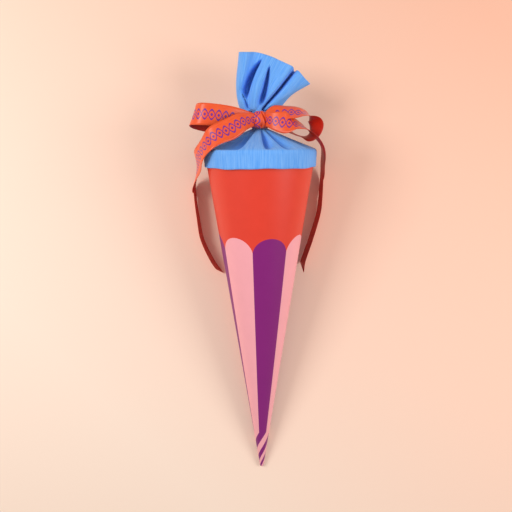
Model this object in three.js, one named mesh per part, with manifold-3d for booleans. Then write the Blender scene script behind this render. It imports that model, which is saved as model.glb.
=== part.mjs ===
// School cone: a rolled card cone, closed by a gathered crepe paper tube that a satin bow ties.
// Every piece is drawn with the cone standing on its tip: X across, Y up the axis, Z to the viewer.
// The whole group is then laid on its back, as the cone rests. Millimetres.
import * as THREE from 'three';
import { mergeVertices } from 'three/addons/utils/BufferGeometryUtils.js';
import Module from 'manifold-3d';

// Driving sizes of the card cone
const coneLength = 700;
const rimRadius = 109;
const tipRadius = 3.5;
const tipPlug = 12;
const cardThickness = 0.9;
const seamOverlapAngle = 7.5;
const seamAngle = 218.75;

// Driving sizes of the crepe paper closure
const bandHeight = 33;
const paperThickness = 0.6;
const rimFoldRise = 3;
const tieHeight = 58;
const neckAcross = 30;
const neckDepth = 25;
const neckPleat = 0.8;
const domeSwell = 0.95;
const flareHeight = 125;

// Driving sizes of the satin ribbon
const ribbonWidth = 40;
const ribbonThickness = 0.7;
const wrapHeight = 28;
const wrapThickness = 1.6;
const knotWidth = 34;
const knotHeight = 30;
const knotBulge = 21;

// Gap between pieces that touch on the real object
const clearance = 0.3;

// How finely the round pieces are faceted: the crepe has this many folds, each with this many columns
const foldCount = 20;
const columnsPerFold = 4;
const columns = foldCount * columnsPerFold;

const degrees = Math.PI / 180;
const foldStep = 360 / foldCount;
const facetStep = 360 / columns;

// The cone leans back by the slope of its back facet, so that facet lies on the ground
const facetShrink = Math.cos((facetStep / 2) * degrees);
const slope = (rimRadius - tipRadius) / coneLength;
const lieAngle = Math.atan(slope * facetShrink);

// Outer radius of the card at a height above the tip
function coneRadius(height) {
  return tipRadius + slope * height;
}

// Angle of a column round the axis: 0 faces the viewer, 90 is the right side, and facets straddle 180
function columnAngle(column) {
  return -90 + facetStep * (column + 0.5);
}

// A point at a radius, an angle in degrees round the axis and a height above the tip
function polar(radius, angle, height) {
  const turn = angle * degrees;
  return new THREE.Vector3(radius * Math.sin(turn), height, radius * Math.cos(turn));
}

// Closed body of rings between two end points: rings go from the first pole to the last one
function closedRings(rings, firstPole, lastPole) {
  const count = rings[0].length;
  const points = [firstPole, ...rings.flat(), lastPole];
  const indices = [];
  const last = points.length - 1;
  for (let column = 0; column < count; column += 1) {
    const next = (column + 1) % count;
    indices.push(0, 1 + next, 1 + column);
    for (let ring = 0; ring + 1 < rings.length; ring += 1) {
      const here = 1 + ring * count;
      const above = here + count;
      indices.push(here + column, here + next, above + next);
      indices.push(here + column, above + next, above + column);
    }
    const top = 1 + (rings.length - 1) * count;
    indices.push(top + column, top + next, last);
  }
  const geometry = new THREE.BufferGeometry().setFromPoints(points);
  geometry.setIndex(indices);
  return geometry;
}

// Card cone: the outer skin runs from the blunt tip to the rim, the inner skin back down to the plug that
// the tightly rolled card makes in the tip
function seamLift(angle) {
  const intoSeam = (((angle - seamAngle) % 360) + 360) % 360;
  const ramp = seamOverlapAngle;
  if (intoSeam <= seamOverlapAngle) return cardThickness;
  if (intoSeam < seamOverlapAngle + ramp) return cardThickness * (1 - (intoSeam - seamOverlapAngle) / ramp);
  return 0;
}

function cardAngles() {
  const angles = [];
  for (let column = 0; column < columns; column += 1) angles.push(columnAngle(column));
  const edge = 0.3;
  angles.push(seamAngle, seamAngle - edge, seamAngle + seamOverlapAngle, seamAngle + 2 * seamOverlapAngle);
  const turned = angles.map((angle) => (((angle + 90) % 360) + 360) % 360 - 90).sort((a, b) => a - b);
  return turned.filter((angle, index) => index === 0 || angle - turned[index - 1] > edge / 2);
}

function cardConeGeometry() {
  const angles = cardAngles();
  const wallAcross = cardThickness * Math.sqrt(1 + slope * slope);
  const outerTip = angles.map((angle) => polar(tipRadius, angle, 0));
  const outerRim = angles.map((angle) => polar(rimRadius + seamLift(angle), angle, coneLength));
  const innerRim = angles.map((angle) => polar(rimRadius - wallAcross, angle, coneLength));
  const innerTip = angles.map((angle) => polar(coneRadius(tipPlug) - wallAcross, angle, tipPlug));
  const tip = new THREE.Vector3(0, 0, 0);
  const plug = new THREE.Vector3(0, tipPlug, 0);
  return closedRings([outerTip, outerRim, innerRim, innerTip], tip, plug);
}

// Crepe closure: one paper tube, glued as a band round the rim, gathered to a neck and flared above it.
// The band's inner side clears the card and its seam.
const bandOffset = (cardThickness + clearance) * Math.sqrt(1 + slope * slope);
const bandFloor = coneLength - bandHeight + rimFoldRise;
const bandTop = coneLength + rimFoldRise;
const tieLevel = coneLength + tieHeight;
const neckFloor = tieLevel - wrapHeight / 2 - 1;
const neckTop = tieLevel + wrapHeight / 2 + 1;
const bandSkin = bandOffset + paperThickness * Math.sqrt(1 + slope * slope);

// Folds of the flare, counted from its left edge over the front to the right edge and round the back.
// Each row holds three points of the fold, low, half way and at the paper's cut edge: across, up from
// the knot and towards the viewer, in hundredths of the flare's height.
const flareFolds = [
  [[-29, 15, 0], [-36, 49, 0], [-31, 100, 0]],
  [[-24, 17, 10], [-26, 52, 14], [-20, 98, 14]],
  [[-18, 21, 0], [-17, 52, -12], [-3, 99, 3]],
  [[-9, 19, 14], [-4, 53, 18], [17, 92, 15]],
  [[-1, 22, -5], [11, 52, -18], [29, 87, 9]],
  [[3, 22, 10], [19, 54, 12], [38, 83, 11]],
  [[4, 20, 11], [26, 46, 13], [50, 77, 12]],
  [[5, 17, -5], [29, 45, -14], [54, 74, -14]],
  [[8, 18, 7], [32, 42, 9], [58, 72, 9]],
  [[14, 17, 8], [40, 35, 8], [69, 61, 6]],
  [[27, 15, 0], [50, 38, -4], [78, 54, -4]],
  [[21, 15, -8], [44, 38, -16], [70, 62, -18]],
  [[17, 16, -6], [38, 42, -8], [64, 67, -6]],
  [[12, 17, -13], [30, 46, -21], [54, 74, -21]],
  [[7, 17, -10], [22, 50, -13], [42, 82, -13]],
  [[2, 16, -16], [13, 52, -24], [29, 88, -26]],
  [[-5, 15, -10], [3, 53, -14], [14, 95, -14]],
  [[-11, 14, -16], [-8, 52, -24], [2, 99, -24]],
  [[-17, 16, -10], [-19, 51, -14], [-13, 99, -14]],
  [[-23, 15, -8], [-30, 50, -13], [-24, 99, -19]],
];

// Grooves of the gathered dome between rim and neck: angle, half width in degrees, depth in
// millimetres, and how far from the rim (0) to the neck (1) the groove is deepest
const domeGrooves = [
  [-34, 13, 16, 0.3],
  [-75, 10, 9, 0.45],
  [6, 6, 8, 0.55],
  [31, 7, 11, 0.5],
  [66, 11, 9, 0.5],
  [104, 13, 9, 0.45],
  [142, 11, 8, 0.5],
  [180, 12, 9, 0.45],
  [216, 11, 8, 0.5],
  [250, 12, 9, 0.45],
];

// Smooth curve through four equally spaced values, between the second and the third
function smoothStep(before, from, to, after, share) {
  const a = 2 * from;
  const b = to - before;
  const c = 2 * before - 5 * from + 4 * to - after;
  const d = 3 * from - before - 3 * to + after;
  return 0.5 * (a + b * share + c * share * share + d * share * share * share);
}

function smoothPoint(points, share) {
  return new THREE.Vector3(
    smoothStep(points[0].x, points[1].x, points[2].x, points[3].x, share),
    smoothStep(points[0].y, points[1].y, points[2].y, points[3].y, share),
    smoothStep(points[0].z, points[1].z, points[2].z, points[3].z, share),
  );
}

// Ring of the flare at one of its three stations, smooth from fold to fold
function flareStation(station) {
  const unit = flareHeight / 100;
  const folds = flareFolds.map((fold) => new THREE.Vector3(...fold[station]).multiplyScalar(unit));
  const ring = [];
  for (let column = 0; column < columns; column += 1) {
    const place = (column + 0.5) / columnsPerFold;
    const fold = Math.floor(place);
    const around = [-1, 0, 1, 2].map((step) => folds[(fold + step + foldCount) % foldCount]);
    ring.push(smoothPoint(around, place - fold).add(new THREE.Vector3(0, tieLevel, 0)));
  }
  return ring;
}

function neckRing(height) {
  const ring = [];
  for (let column = 0; column < columns; column += 1) {
    const angle = columnAngle(column);
    const pleat = 1 - (neckPleat / neckDepth) * (1 + Math.cos((angle / foldStep) * 2 * Math.PI));
    const turn = angle * degrees;
    const across = (neckAcross / 2) * pleat * Math.sin(turn);
    const depth = (neckDepth / 2) * pleat * Math.cos(turn);
    ring.push(new THREE.Vector3(across, height, depth));
  }
  return ring;
}

// Dome ring at a share of the way from the rim's fold (0) to the neck (1)
function domeRing(share) {
  const neck = neckRing(neckFloor);
  const rise = (neckFloor - bandTop) * Math.pow(share, domeSwell);
  return neck.map((neckPoint, column) => {
    const angle = columnAngle(column);
    const rim = polar(coneRadius(bandTop) + bandSkin, angle, bandTop);
    let sink = 0;
    for (const [centre, halfWidth, depth, deepest] of domeGrooves) {
      const off = (((angle - centre + 180) % 360) + 360) % 360 - 180;
      const along = share <= deepest ? share / deepest : (1 - share) / (1 - deepest);
      sink += depth * Math.exp(-((off / halfWidth) ** 2)) * Math.sin((along * Math.PI) / 2);
    }
    const point = rim.clone().lerp(neckPoint, share);
    point.y = bandTop + rise - sink;
    return point;
  });
}

// The same rings moved in by the paper's thickness, along the surface's own normal
function innerSkin(rings, first, last) {
  const skin = [];
  for (let ring = first; ring <= last; ring += 1) {
    const below = rings[Math.max(ring - 1, 0)];
    const above = rings[Math.min(ring + 1, rings.length - 1)];
    skin.push(rings[ring].map((point, column) => {
      const right = rings[ring][(column + 1) % columns];
      const left = rings[ring][(column - 1 + columns) % columns];
      const round = right.clone().sub(left);
      const up = above[column].clone().sub(below[column]);
      const outward = round.cross(up).normalize();
      return point.clone().addScaledVector(outward, -paperThickness);
    }));
  }
  return skin;
}

function crepeGeometry() {
  const bandRing = (height, offset) => {
    const ring = [];
    for (let column = 0; column < columns; column += 1) {
      ring.push(polar(coneRadius(height) + offset, columnAngle(column), height));
    }
    return ring;
  };
  const domeShares = [0.05, 0.12, 0.22, 0.34, 0.46, 0.58, 0.7, 0.82, 0.92];
  const dome = domeShares.map(domeRing);
  const stations = [neckRing(neckFloor), neckRing(neckTop), flareStation(0), flareStation(1), flareStation(2)];
  const end = stations[4].map((point, column) => point.clone().multiplyScalar(2).sub(stations[3][column]));
  const levels = [...stations, end];
  const flare = [];
  for (let level = 1; level + 2 < levels.length; level += 1) {
    const steps = [0, 2, 3, 3][level];
    for (let step = 1; step <= steps; step += 1) {
      flare.push(levels[0].map((unused, column) => {
        const around = [-1, 0, 1, 2].map((move) => levels[level + move][column]);
        return smoothPoint(around, step / steps);
      }));
    }
  }
  const cup = innerSkin(flare, 2, flare.length - 1).reverse();
  const underDome = innerSkin([bandRing(bandTop, bandSkin), ...dome], 2, 7).reverse();
  const cupPole = new THREE.Vector3(0, tieLevel + 0.2 * flareHeight, 0);
  const underPole = new THREE.Vector3(0, neckFloor - 8, 0);
  const rings = [
    ...underDome,
    bandRing(bandTop - paperThickness, bandOffset),
    bandRing(bandFloor, bandOffset),
    bandRing(bandFloor, bandSkin),
    bandRing(bandTop, bandSkin),
    ...dome,
    neckRing(neckFloor),
    neckRing(neckTop),
    ...flare,
    ...cup,
  ];
  return closedRings(rings, underPole, cupPole);
}

// Satin ribbon: every run is a flat strip, swept along its middle line with its width turned as it twists.
// Each station holds the middle point, the direction that the width points in and, where the strip is
// gathered, the share of its width that is left.
function strip(stations) {
  const middle = new THREE.CatmullRomCurve3(stations.map(([point]) => new THREE.Vector3(...point)), false, 'centripetal');
  const widths = stations.map(([, width]) => new THREE.Vector3(...width).normalize());
  const shares = stations.map(([, , widthShare = 1]) => widthShare);
  const steps = (stations.length - 1) * 4;
  const rings = [];
  for (let step = 0; step <= steps; step += 1) {
    const share = step / steps;
    const along = share * (stations.length - 1);
    const index = Math.min(Math.floor(along), stations.length - 2);
    const centre = middle.getPoint(share);
    const forward = middle.getTangent(share);
    const width = widths[index].clone().lerp(widths[index + 1], along - index);
    const widthShare = THREE.MathUtils.lerp(shares[index], shares[index + 1], along - index);
    const halfWidth = (widthShare * ribbonWidth) / 2;
    width.addScaledVector(forward, -width.dot(forward)).normalize().multiplyScalar(halfWidth);
    const face = forward.clone().cross(width).normalize().multiplyScalar(ribbonThickness / 2);
    rings.push([
      centre.clone().add(width).add(face),
      centre.clone().sub(width).add(face),
      centre.clone().sub(width).sub(face),
      centre.clone().add(width).sub(face),
    ]);
  }
  return closedStrip(rings);
}

// Closed body of four-cornered rings. Both faces of the strip are split along the same diagonal, so that
// they stay apart where it twists.
function closedStrip(rings) {
  const corners = 4;
  const lowSide = 2;
  const indices = [0, 2, 1, 0, 3, 2];
  for (let ring = 0; ring + 1 < rings.length; ring += 1) {
    for (let corner = 0; corner < corners; corner += 1) {
      const here = ring * corners + corner;
      const next = ring * corners + (corner + 1) % corners;
      const above = here + corners;
      const nextAbove = next + corners;
      if (corner === lowSide) indices.push(here, next, above, next, nextAbove, above);
      else indices.push(here, next, nextAbove, here, nextAbove, above);
    }
  }
  const end = (rings.length - 1) * corners;
  indices.push(end, end + 1, end + 2, end, end + 2, end + 3);
  const geometry = new THREE.BufferGeometry().setFromPoints(rings.flat());
  geometry.setIndex(indices);
  return geometry;
}

// The bow's runs, in millimetres from the knot's middle on the axis
function fromKnot(across, up, towards) {
  return [across, tieLevel + up, towards];
}

const leftLoop = [
  [fromKnot(-10, 1, 20), [0, 1, 0], 0.55],
  [fromKnot(-32, 2, 30), [0, 1, 0.1], 0.85],
  [fromKnot(-56, 5, 40), [0.05, 1, 0]],
  [fromKnot(-85, 9, 46), [0.1, 1, 0]],
  [fromKnot(-111, 11, 44), [0.25, 1, 0]],
  [fromKnot(-126, 10, 26), [0.38, 1, 0]],
  [fromKnot(-121, 4, 6), [0.35, 1, 0]],
  [fromKnot(-93, -2, 0), [0.2, 1, 0]],
  [fromKnot(-62, -4, 4), [0.1, 1, 0.1]],
  [fromKnot(-34, 0, 14), [0, 1, 0], 0.75],
  [fromKnot(-12, 1, 18), [0, 1, 0], 0.5],
];

const rightLoop = [
  [fromKnot(10, 2, 20), [0, 1, 0], 0.5],
  [fromKnot(29, 8, 24), [0, 0.9, -0.3]],
  [fromKnot(49, 13, 28), [0, 0.65, -0.75]],
  [fromKnot(69, 13, 30), [-0.1, 0.55, -0.83]],
  [fromKnot(89, 10, 32), [0, 0.25, -0.97]],
  [fromKnot(104, -3, 30), [-0.6, 0, -0.8]],
  [fromKnot(103, -20, 22), [-0.5, 0.1, -0.85]],
  [fromKnot(92, -31, 14), [-0.3, 0.15, -0.95]],
  [fromKnot(74, -29, 10), [0, 0.1, -1]],
  [fromKnot(54, -19, 10), [0.1, 0.2, -0.97]],
  [fromKnot(31, -6, 14), [0, 0.8, -0.6], 0.75],
  [fromKnot(12, 0, 18), [0, 1, 0], 0.5],
];

// The tails leave the knot over the dome, turn on edge past the rim's side and lie along the ground.
// Across and depth beyond the rim follow the rim's radius; heights are taken from the rim.
const groundOffset = bandSkin * facetShrink;
const upright = [0, Math.sin(lieAngle), Math.cos(lieAngle)];

function byRim(across, up, towards) {
  return [across * rimRadius, coneLength + up, towards * rimRadius];
}

function onGround(across, up, lift = 0) {
  const height = coneLength + up;
  const ground = -(coneRadius(height) * facetShrink + groundOffset);
  return [across * rimRadius, height, ground + (ribbonWidth / 2 + clearance + lift) / Math.cos(lieAngle)];
}

const downward = upright.map((part) => -part);

const leftTail = [
  [fromKnot(-9, 1, 24), [0, 1, 0], 0.55],
  [fromKnot(-33, -4, 48), [-0.5, 0.85, 0], 0.85],
  [fromKnot(-55, -17, 59), [-0.7, 0.7, 0]],
  [byRim(-0.75, 30, 0.62), [-0.68, 0.62, -0.3]],
  [byRim(-0.96, 14, 0.56), [-0.55, 0.32, -0.75]],
  [byRim(-1.12, -9, 0.34), [-0.4, 0.1, -0.9]],
  [byRim(-1.22, -37, -0.15), [-0.15, 0, -1]],
  [onGround(-1.28, -73, 5), downward],
  [onGround(-1.27, -102, 1), downward],
  [onGround(-1.22, -145), downward],
  [onGround(-1.15, -187), downward],
  [onGround(-0.97, -230), downward],
  [onGround(-0.81, -256), downward],
];

const rightTail = [
  [fromKnot(9, 1, 24), [0, 1, 0], 0.55],
  [fromKnot(24, -2, 40), [0.1, 1, 0], 0.8],
  [fromKnot(45, -6, 46), [0.1, 0.95, -0.2]],
  [fromKnot(67, -9, 45), [0, 0.5, -0.85]],
  [byRim(0.82, 40, 0.4), [-0.1, 0.15, -1]],
  [byRim(0.96, 26, 0.33), [-0.1, 0, -0.99]],
  [byRim(1.1, 5, 0.1), [0.04, 0, -1]],
  [byRim(1.18, -19, -0.29), [0.04, 0, -1]],
  [onGround(1.22, -52, 5), downward],
  [onGround(1.19, -104, 1), downward],
  [onGround(1.15, -136), downward],
  [onGround(1, -189), downward],
  [onGround(0.86, -232), downward],
  [onGround(0.83, -249), downward],
];

const wasm = await Module();
wasm.setup();

function toSolid(geometry) {
  const bare = geometry.clone();
  bare.deleteAttribute('normal');
  bare.deleteAttribute('uv');
  const merged = mergeVertices(bare, 1e-5);
  const mesh = new wasm.Mesh({
    numProp: 3,
    vertProperties: Float32Array.from(merged.attributes.position.array),
    triVerts: Uint32Array.from(merged.index.array),
  });
  return new wasm.Manifold(mesh);
}

function toGeometry(solid) {
  const mesh = solid.getMesh();
  const geometry = new THREE.BufferGeometry();
  geometry.setAttribute('position', new THREE.BufferAttribute(Float32Array.from(mesh.vertProperties), 3));
  geometry.setIndex(Array.from(mesh.triVerts));
  return geometry;
}

// A round body with an oval section, standing on the axis
function ovalPost(across, depth, height, level) {
  const post = new THREE.CylinderGeometry(0.5, 0.5, height, 32);
  post.scale(across, 1, depth);
  post.translate(0, level, 0);
  return post;
}

function ribbonGeometry() {
  const wrapAcross = neckAcross + 2 * (clearance + wrapThickness);
  const wrapDepth = neckDepth + 2 * (clearance + wrapThickness);
  const knot = new THREE.SphereGeometry(0.5, 20, 14);
  knot.scale(knotWidth, knotHeight, 2 * knotBulge);
  knot.translate(0, tieLevel + 1, neckDepth / 2);
  const bore = ovalPost(neckAcross + 2 * clearance, neckDepth + 2 * clearance, 4 * wrapHeight, tieLevel);
  const solid = [leftLoop, rightLoop, leftTail, rightTail]
    .map((run) => toSolid(strip(run)))
    .reduce((sum, run) => sum.add(run), toSolid(ovalPost(wrapAcross, wrapDepth, wrapHeight, tieLevel)))
    .add(toSolid(knot))
    .subtract(toSolid(bore));
  return toGeometry(solid);
}

// Materials
const redCard = new THREE.MeshStandardMaterial({ color: 0xe8402a, roughness: 0.45, metalness: 0 });
const blueCrepe = new THREE.MeshStandardMaterial({ color: 0x70aefa, roughness: 0.9, metalness: 0 });
const orangeSatin = new THREE.MeshStandardMaterial({ color: 0xf9582d, roughness: 0.4, metalness: 0 });

function piece(name, geometry, material) {
  geometry.computeVertexNormals();
  const mesh = new THREE.Mesh(geometry, material);
  mesh.name = name;
  return mesh;
}

// Standing frame to lying frame: the origin is the middle of the band's back facet, on the ground
const standing = new THREE.Group();
standing.add(piece('card_cone', cardConeGeometry(), redCard));
standing.add(piece('crepe_closure', crepeGeometry(), blueCrepe));
standing.add(piece('ribbon_bow', ribbonGeometry(), orangeSatin));
const restHeight = (bandFloor + bandTop) / 2;
const restDepth = (coneRadius(restHeight) + bandSkin) * facetShrink;
standing.position.set(0, -restHeight, restDepth);

const schoolCone = new THREE.Group();
schoolCone.add(standing);
schoolCone.rotation.x = lieAngle;

export default schoolCone;
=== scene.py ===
import math

import bmesh
import bpy
import numpy as np
from mathutils import Matrix, Vector


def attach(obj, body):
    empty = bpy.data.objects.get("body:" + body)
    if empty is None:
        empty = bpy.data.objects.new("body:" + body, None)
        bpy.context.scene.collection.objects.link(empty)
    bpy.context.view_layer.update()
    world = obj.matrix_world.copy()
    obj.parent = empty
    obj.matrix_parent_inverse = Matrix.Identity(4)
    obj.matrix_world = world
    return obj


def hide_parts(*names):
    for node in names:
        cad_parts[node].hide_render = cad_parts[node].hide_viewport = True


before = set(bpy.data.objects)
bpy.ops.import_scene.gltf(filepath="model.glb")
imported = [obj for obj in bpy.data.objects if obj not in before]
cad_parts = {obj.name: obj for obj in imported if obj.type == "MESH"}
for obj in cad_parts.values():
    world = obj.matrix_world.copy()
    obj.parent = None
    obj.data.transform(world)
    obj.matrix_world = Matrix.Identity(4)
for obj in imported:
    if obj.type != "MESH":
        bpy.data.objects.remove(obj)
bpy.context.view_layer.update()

# The cone lies on its back
# A school cone can't stand on its tip, so it rests on the back of its crepe band and on its tip, with its
# front up. Every piece is drawn as if the cone stood: across, up the axis from the tip, and towards the
# viewer, in millimetres. lay() turns such points into the frame, in metres.
CONE_LENGTH = 700
RIM_RADIUS = 109
TIP_RADIUS = 3.5
CARD = 0.9
CLEARANCE = 0.3
PAPER = 0.6
BAND_HEIGHT = 33
RIM_FOLD_RISE = 3
FACETS = 80

SLOPE = (RIM_RADIUS - TIP_RADIUS) / CONE_LENGTH
SLANT = math.sqrt(1 + SLOPE * SLOPE)
FACET_SHRINK = math.cos(math.pi / FACETS)
LIE_ANGLE = math.atan(SLOPE * FACET_SHRINK)
BAND_OFFSET = (CARD + CLEARANCE) * SLANT
BAND_SKIN = BAND_OFFSET + PAPER * SLANT
BAND_FLOOR = CONE_LENGTH - BAND_HEIGHT + RIM_FOLD_RISE
BAND_TOP = CONE_LENGTH + RIM_FOLD_RISE
REST_HEIGHT = (BAND_FLOOR + BAND_TOP) / 2


def cone_radius(height):
    """Outer radius of the card: the tip's radius plus the slope times the height above the tip."""
    return TIP_RADIUS + SLOPE * height


REST_DEPTH = (cone_radius(REST_HEIGHT) + BAND_SKIN) * FACET_SHRINK


def lay(points):
    """Standing points (..., 3) in millimetres to the lying frame in metres: shifted so that the band's
    back facet is at the origin, then turned about X by the lie angle."""
    across = points[..., 0]
    up = points[..., 1] - REST_HEIGHT
    towards = points[..., 2] + REST_DEPTH
    c, s = math.cos(LIE_ANGLE), math.sin(LIE_ANGLE)
    return np.stack([across, up * c - towards * s, np.maximum(up * s + towards * c, 0)], axis=-1) / 1000


# Camera and ground
# The camera stands where the photograph was taken from, seen from the cone: a metre away, level with the
# rim and looking 12.6 degrees down along it. The ground is pale peach paper, with painted shade that
# deepens it towards the right and the back.
CAMERA_PLACE = (-9.4, 712, 1000.6)
CAMERA_DIP = math.radians(12.57)
CAMERA_ROLL = math.radians(-0.45)
FOCAL_PIXELS = 498
PHOTO_WIDTH = 512
SENSOR_WIDTH = 36
GROUND_HALF = 6
PAINTED_SHADE_START = -0.9
PAINTED_SHADE_FULL = 0.8


def turned(vector):
    """A direction in the standing cone's frame, turned into the lying frame."""
    c, s = math.cos(LIE_ANGLE), math.sin(LIE_ANGLE)
    return Vector((vector[0], vector[1] * c - vector[2] * s, vector[1] * s + vector[2] * c))


def camera_matrix():
    """Columns: the camera's right, up and back directions, and its place."""
    level_right = Vector((1, 0, 0))
    level_up = Vector((0, math.cos(CAMERA_DIP), -math.sin(CAMERA_DIP)))
    c, s = math.cos(CAMERA_ROLL), math.sin(CAMERA_ROLL)
    right = turned(level_right * c + level_up * s)
    up = turned(level_up * c - level_right * s)
    place = Vector(lay(np.array(CAMERA_PLACE, dtype=float)))
    matrix = Matrix.Identity(4)
    for row in range(3):
        matrix[row][0] = right[row]
        matrix[row][1] = up[row]
        matrix[row][2] = right.cross(up)[row]
        matrix[row][3] = place[row]
    return matrix


camera_data = bpy.data.cameras.new("camera")
camera_data.sensor_width = SENSOR_WIDTH
camera_data.lens = FOCAL_PIXELS / PHOTO_WIDTH * SENSOR_WIDTH
camera = bpy.data.objects.new("camera", camera_data)
camera.matrix_world = camera_matrix()
bpy.context.scene.collection.objects.link(camera)
bpy.context.scene.camera = camera


def linear(hex_colour):
    """An sRGB hex colour as linear RGBA."""
    parts = [int(hex_colour[i:i + 2], 16) / 255 for i in (1, 3, 5)]
    return tuple(p / 12.92 if p <= 0.04045 else ((p + 0.055) / 1.055) ** 2.4 for p in parts) + (1.0,)


def add(tree, kind, settings=None, **links):
    """Adds a node: settings are its properties, links its inputs by name, each a socket or a value.
    A link named in_0, in_1 and so on goes to the input of that number."""
    node = tree.nodes.new(kind)
    for name, value in (settings or {}).items():
        setattr(node, name, value)
    for name, value in links.items():
        key = int(name[3:]) if name.startswith("in_") else name.replace("_", " ")
        socket = node.inputs[key]
        if isinstance(value, bpy.types.NodeSocket):
            tree.links.new(value, socket)
        else:
            socket.default_value = value
    return node


def new_material(name):
    """An empty node material with its shader and output joined."""
    material = bpy.data.materials.new(name)
    material.use_nodes = True
    tree = material.node_tree
    tree.nodes.clear()
    shader = tree.nodes.new("ShaderNodeBsdfPrincipled")
    output = tree.nodes.new("ShaderNodeOutputMaterial")
    tree.links.new(shader.outputs["BSDF"], output.inputs["Surface"])
    return material, tree, shader


def ground_material():
    """Matt backdrop paper, pale peach, with painted shade that makes it a little deeper towards the right
    and the back. The painted shade goes with the sum of X and Y in metres."""
    material, tree, shader = new_material("backdrop_paper")
    place = add(tree, "ShaderNodeTexCoord")
    parts = add(tree, "ShaderNodeSeparateXYZ", Vector=place.outputs["Object"])
    along = add(tree, "ShaderNodeMath", {"operation": "ADD"}, in_0=parts.outputs["X"],
                in_1=parts.outputs["Y"])
    share = add(tree, "ShaderNodeMapRange", Value=along.outputs[0], From_Min=PAINTED_SHADE_START,
                From_Max=PAINTED_SHADE_FULL)
    # Painted shade: the paper's colour is mixed deeper towards the right and the back.
    colour = add(tree, "ShaderNodeMix", {"data_type": "RGBA"}, Factor=share.outputs[0])
    colour.inputs["A"].default_value = linear("#ffe8d6")
    colour.inputs["B"].default_value = linear("#fac2a8")
    tree.links.new(colour.outputs["Result"], shader.inputs["Base Color"])
    shader.inputs["Roughness"].default_value = 0.95
    shader.inputs["Specular IOR Level"].default_value = 0.1
    return material


ground_mesh = bpy.data.meshes.new("ground")
ground_corners = [(x * GROUND_HALF, y * GROUND_HALF, 0) for x, y in ((-1, -1), (1, -1), (1, 1), (-1, 1))]
ground_mesh.from_pydata(ground_corners, [], [(0, 1, 2, 3)])
ground = bpy.data.objects.new("ground", ground_mesh)
ground_mesh.materials.append(ground_material())
bpy.context.scene.collection.objects.link(ground)

# Studio light
# A large soft lamp high on the left and a weaker one on the right give the round card two pale bands
# with a deeper one between them, and the world fills the folds. Each lamp: name, place and side in
# metres, power in watts.
LAMPS = [
    ("key_left", (-1.35, 0.3, 1.5), 0.8, 19),
    ("fill_right", (1.45, -0.15, 1.25), 0.8, 13),
]
LAMP_TARGET = Vector((0, -0.2, 0.1))
WORLD_LEVEL = 0.52


def soft_lamp(name, place, size, power):
    """A square area lamp that faces the cone."""
    data = bpy.data.lights.new(name, "AREA")
    data.shape = "SQUARE"
    data.size = size
    data.energy = power
    lamp = bpy.data.objects.new(name, data)
    lamp.location = place
    lamp.rotation_euler = (LAMP_TARGET - Vector(place)).to_track_quat("-Z", "Y").to_euler()
    bpy.context.scene.collection.objects.link(lamp)


for lamp_values in LAMPS:
    soft_lamp(*lamp_values)
world = bpy.data.worlds.new("studio")
world.use_nodes = True
world.node_tree.nodes["Background"].inputs["Color"].default_value = linear("#fff6f0")
world.node_tree.nodes["Background"].inputs["Strength"].default_value = WORLD_LEVEL
bpy.context.scene.world = world
bpy.context.scene.view_settings.view_transform = "Standard"

# Card cone
# One printed card, coated on the outside and grey inside, rolled to a point and glued along an overlap
# at the back. The print is red above a row of round scallops, with pink and purple stripes below that
# wind round the tip, where the rolled card turns tightest.
SEAM_ANGLE = 218.75
SEAM_OVERLAP = 7.5
SEAM_EDGE = 0.15
CARD_COLUMNS = 360
CARD_ROWS = 60
ROW_SPREAD = 1.4
TIP_ROUND = 3
TIP_LEVELS = (0, 0.4, 1, 2)
TIP_FLATNESS = 0.95
TIP_PLUG = 12
LIFT_REACH = 60

# Print: the stripes' angle and start in degrees, and how much narrower they get with each millimetre up.
# Scallops, twist and lean are in millimetres up the cone, with the turn of the twist in radians.
STRIPE_ANGLE = 54
STRIPE_START = -8.5
STRIPE_NARROWING = 0.000218
SCALLOP_FLOOR = 503.2
SCALLOP_RISE = 36.3
SCALLOP_ROUND = 0.97
TWIST_TURN = 4.72
TWIST_REACH = 50.7
TWIST_TOP = 95
LEAN_SIZE = 28.6
LEAN_REACH = 66


def grid_mesh(name, points, capped=True):
    """A mesh over a grid of points (rows, columns, 3) in metres. Columns close round, and if capped each
    end row is closed by a fan to its middle point. Returns the mesh and each corner's row and column."""
    rows, columns = points.shape[:2]
    vertices = points.reshape(-1, 3)
    row, column = np.meshgrid(np.arange(rows - 1), np.arange(columns), indexing="ij")
    after = (column + 1) % columns
    quads = np.stack([row * columns + column, row * columns + after,
                      (row + 1) * columns + after, (row + 1) * columns + column], axis=-1).reshape(-1, 4)
    corner_columns = np.stack([column, column + 1, column + 1, column], axis=-1).reshape(-1, 4)
    corner_rows = np.stack([row, row, row + 1, row + 1], axis=-1).reshape(-1, 4)
    faces = quads.tolist()
    around = np.arange(columns)
    beside = (around + 1) % columns
    fan_rows, fan_columns = [], []
    if capped:
        first_middle = np.full(columns, len(vertices))
        base = (rows - 1) * columns
        vertices = np.vstack([vertices, points[0].mean(axis=0), points[-1].mean(axis=0)])
        faces += np.stack([first_middle, beside, around], axis=-1).tolist()
        faces += np.stack([first_middle + 1, base + around, base + beside], axis=-1).tolist()
        fan_rows = [np.zeros((columns, 3)), np.full((columns, 3), rows - 1)]
        fan_columns = [np.stack([around + 0.5, around + 1, around], axis=-1),
                       np.stack([around + 0.5, around, around + 1], axis=-1)]
    mesh = bpy.data.meshes.new(name)
    mesh.from_pydata(vertices.tolist(), [], faces)
    mesh.shade_smooth()
    all_rows = np.concatenate([corner_rows.reshape(-1)] + [f.reshape(-1) for f in fan_rows])
    all_columns = np.concatenate([corner_columns.reshape(-1)] + [f.reshape(-1) for f in fan_columns])
    return mesh, all_rows, all_columns


def set_uv(mesh, name, u, v):
    """Writes a UV map from one value pair for each face corner."""
    layer = mesh.uv_layers.new(name=name)
    layer.data.foreach_set("uv", np.stack([u, v], axis=-1).astype(np.float32).reshape(-1))


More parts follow.
